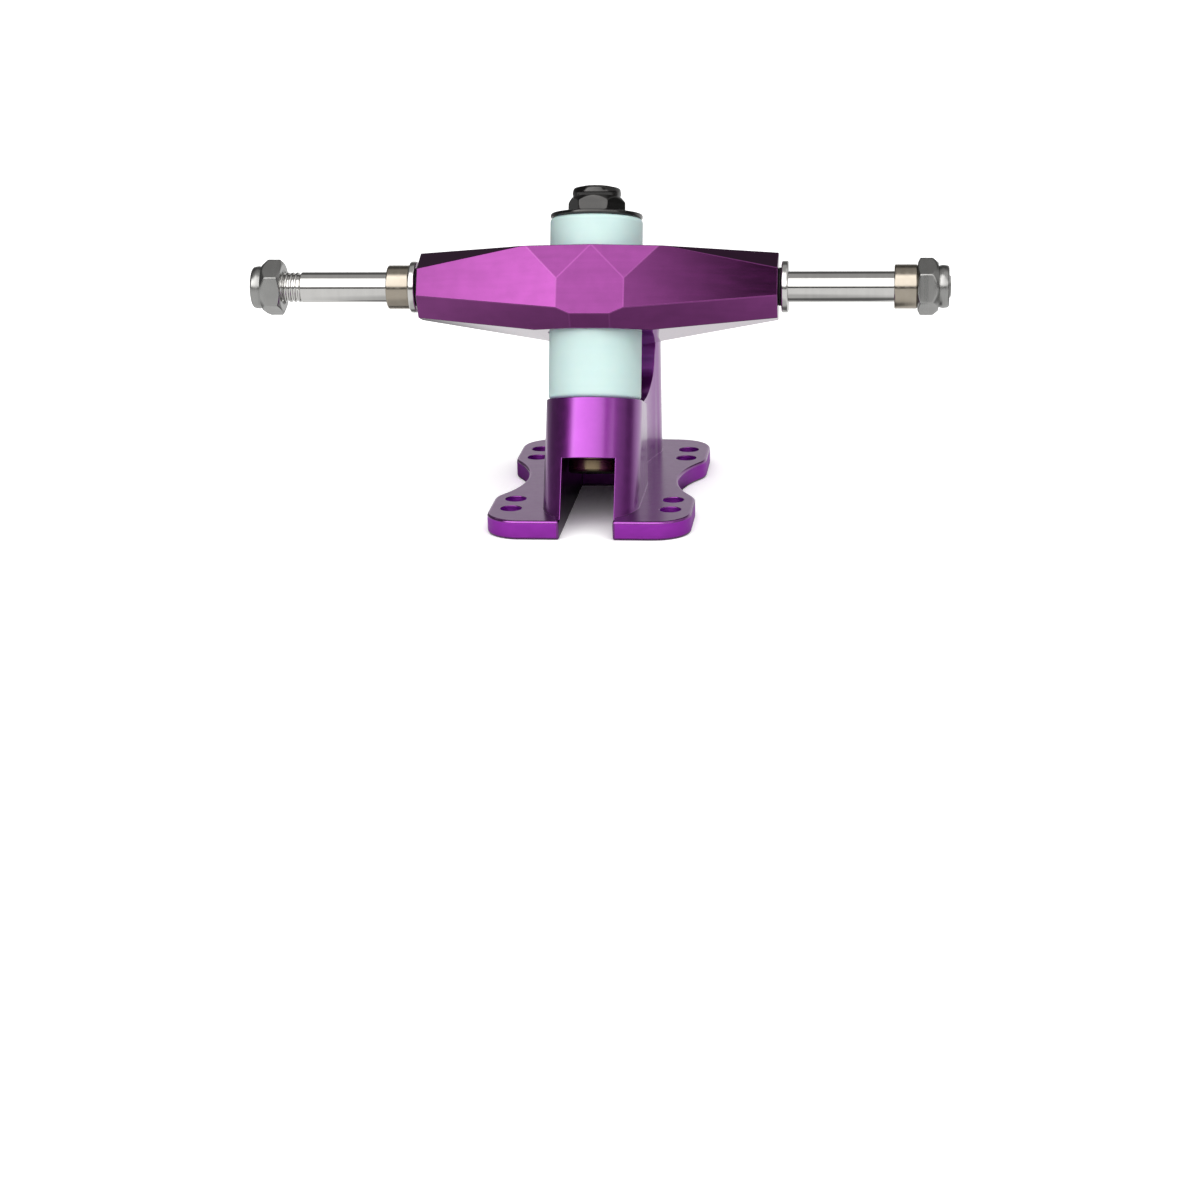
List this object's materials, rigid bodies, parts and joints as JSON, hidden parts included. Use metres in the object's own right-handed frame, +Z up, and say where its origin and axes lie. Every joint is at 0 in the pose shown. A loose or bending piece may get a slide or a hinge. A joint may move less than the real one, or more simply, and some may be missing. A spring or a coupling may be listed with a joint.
{
  "type": "skateboard truck",
  "caption": "Reverse-kingpin board truck with a slotted base plate, a leaning post and a pivot post, a faceted hanger on soft bushings, and steel axles with spacers and lock nuts.",
  "frame": {"origin": "centre of the deck bolt pattern on the plate's mounting face", "axes": "+X along the axle to the right, +Y from the kingpin back to the pivot post, +Z up from the deck face"},
  "size_m": [0.1841, 0.088, 0.0843],
  "materials": {
    "purple_anodised": "satin anodised",
    "mint_urethane": "satin cast urethane",
    "pivot_urethane": "satin cast urethane",
    "kingpin_steel": "pale yellow zinc",
    "black_steel": "black oxide",
    "bright_steel": "polished",
    "nickel": "warm nickel plate",
    "zinc_steel": "zinc plate",
    "nylon": "matt",
    "seal_rubber": "matt"
  },
  "bodies": {
    "base": {"base_plate": "purple_anodised", "pivot_cup": "pivot_urethane", "kingpin": "kingpin_steel", "top_washer": "black_steel", "lower_bushing": "mint_urethane", "upper_bushing": "mint_urethane"},
    "hanger": {"hanger": "purple_anodised", "pivot_pin": "bright_steel", "axle_left": "bright_steel", "axle_right": "bright_steel", "axle_seal_left": "seal_rubber", "axle_seal_right": "seal_rubber"},
    "kingpin_nut": {"kingpin_nut": "black_steel", "kingpin_nut_insert": "nylon"},
    "hub_washer_left": {"hub_washer_left": "bright_steel"},
    "hub_washer_right": {"hub_washer_right": "bright_steel"},
    "spacer_left": {"spacer_left": "nickel"},
    "spacer_right": {"spacer_right": "nickel"},
    "axle_nut_left": {"axle_nut_left": "zinc_steel", "nut_insert_left": "nylon"},
    "axle_nut_right": {"axle_nut_right": "zinc_steel", "nut_insert_right": "nylon"}
  },
  "joints": [
    {"name": "steering", "type": "hinge", "parent": "base", "child": "hanger", "pos_m": [0, -0.00851, 0.05448], "axis": [0, 0.9563, -0.2924], "range_deg": [-15, 15], "stiffness_Nm_per_rad": 40, "deforming": ["lower_bushing", "upper_bushing"]},
    {"name": "kingpin_nut_turn", "type": "hinge", "parent": "base", "child": "kingpin_nut", "pos_m": [0, -0.016, 0.03], "axis": [0, 0.2924, 0.9563], "continuous": true},
    {"name": "hub_washer_left_turn", "type": "hinge", "parent": "hanger", "child": "hub_washer_left", "pos_m": [0, -0.00124, 0.05707], "axis": [1, 0, 0], "continuous": true},
    {"name": "hub_washer_right_turn", "type": "hinge", "parent": "hanger", "child": "hub_washer_right", "pos_m": [0, -0.00124, 0.05707], "axis": [1, 0, 0], "continuous": true},
    {"name": "spacer_left_slide", "type": "slide", "parent": "hanger", "child": "spacer_left", "axis": [-1, 0, 0], "range_m": [0, 0.028]},
    {"name": "spacer_right_slide", "type": "slide", "parent": "hanger", "child": "spacer_right", "axis": [-1, 0, 0], "range_m": [0, 0.027]},
    {"name": "axle_nut_left_turn", "type": "hinge", "parent": "hanger", "child": "axle_nut_left", "pos_m": [0, -0.00124, 0.05707], "axis": [1, 0, 0], "continuous": true},
    {"name": "axle_nut_right_turn", "type": "hinge", "parent": "hanger", "child": "axle_nut_right", "pos_m": [0, -0.00124, 0.05707], "axis": [1, 0, 0], "continuous": true}
  ]
}
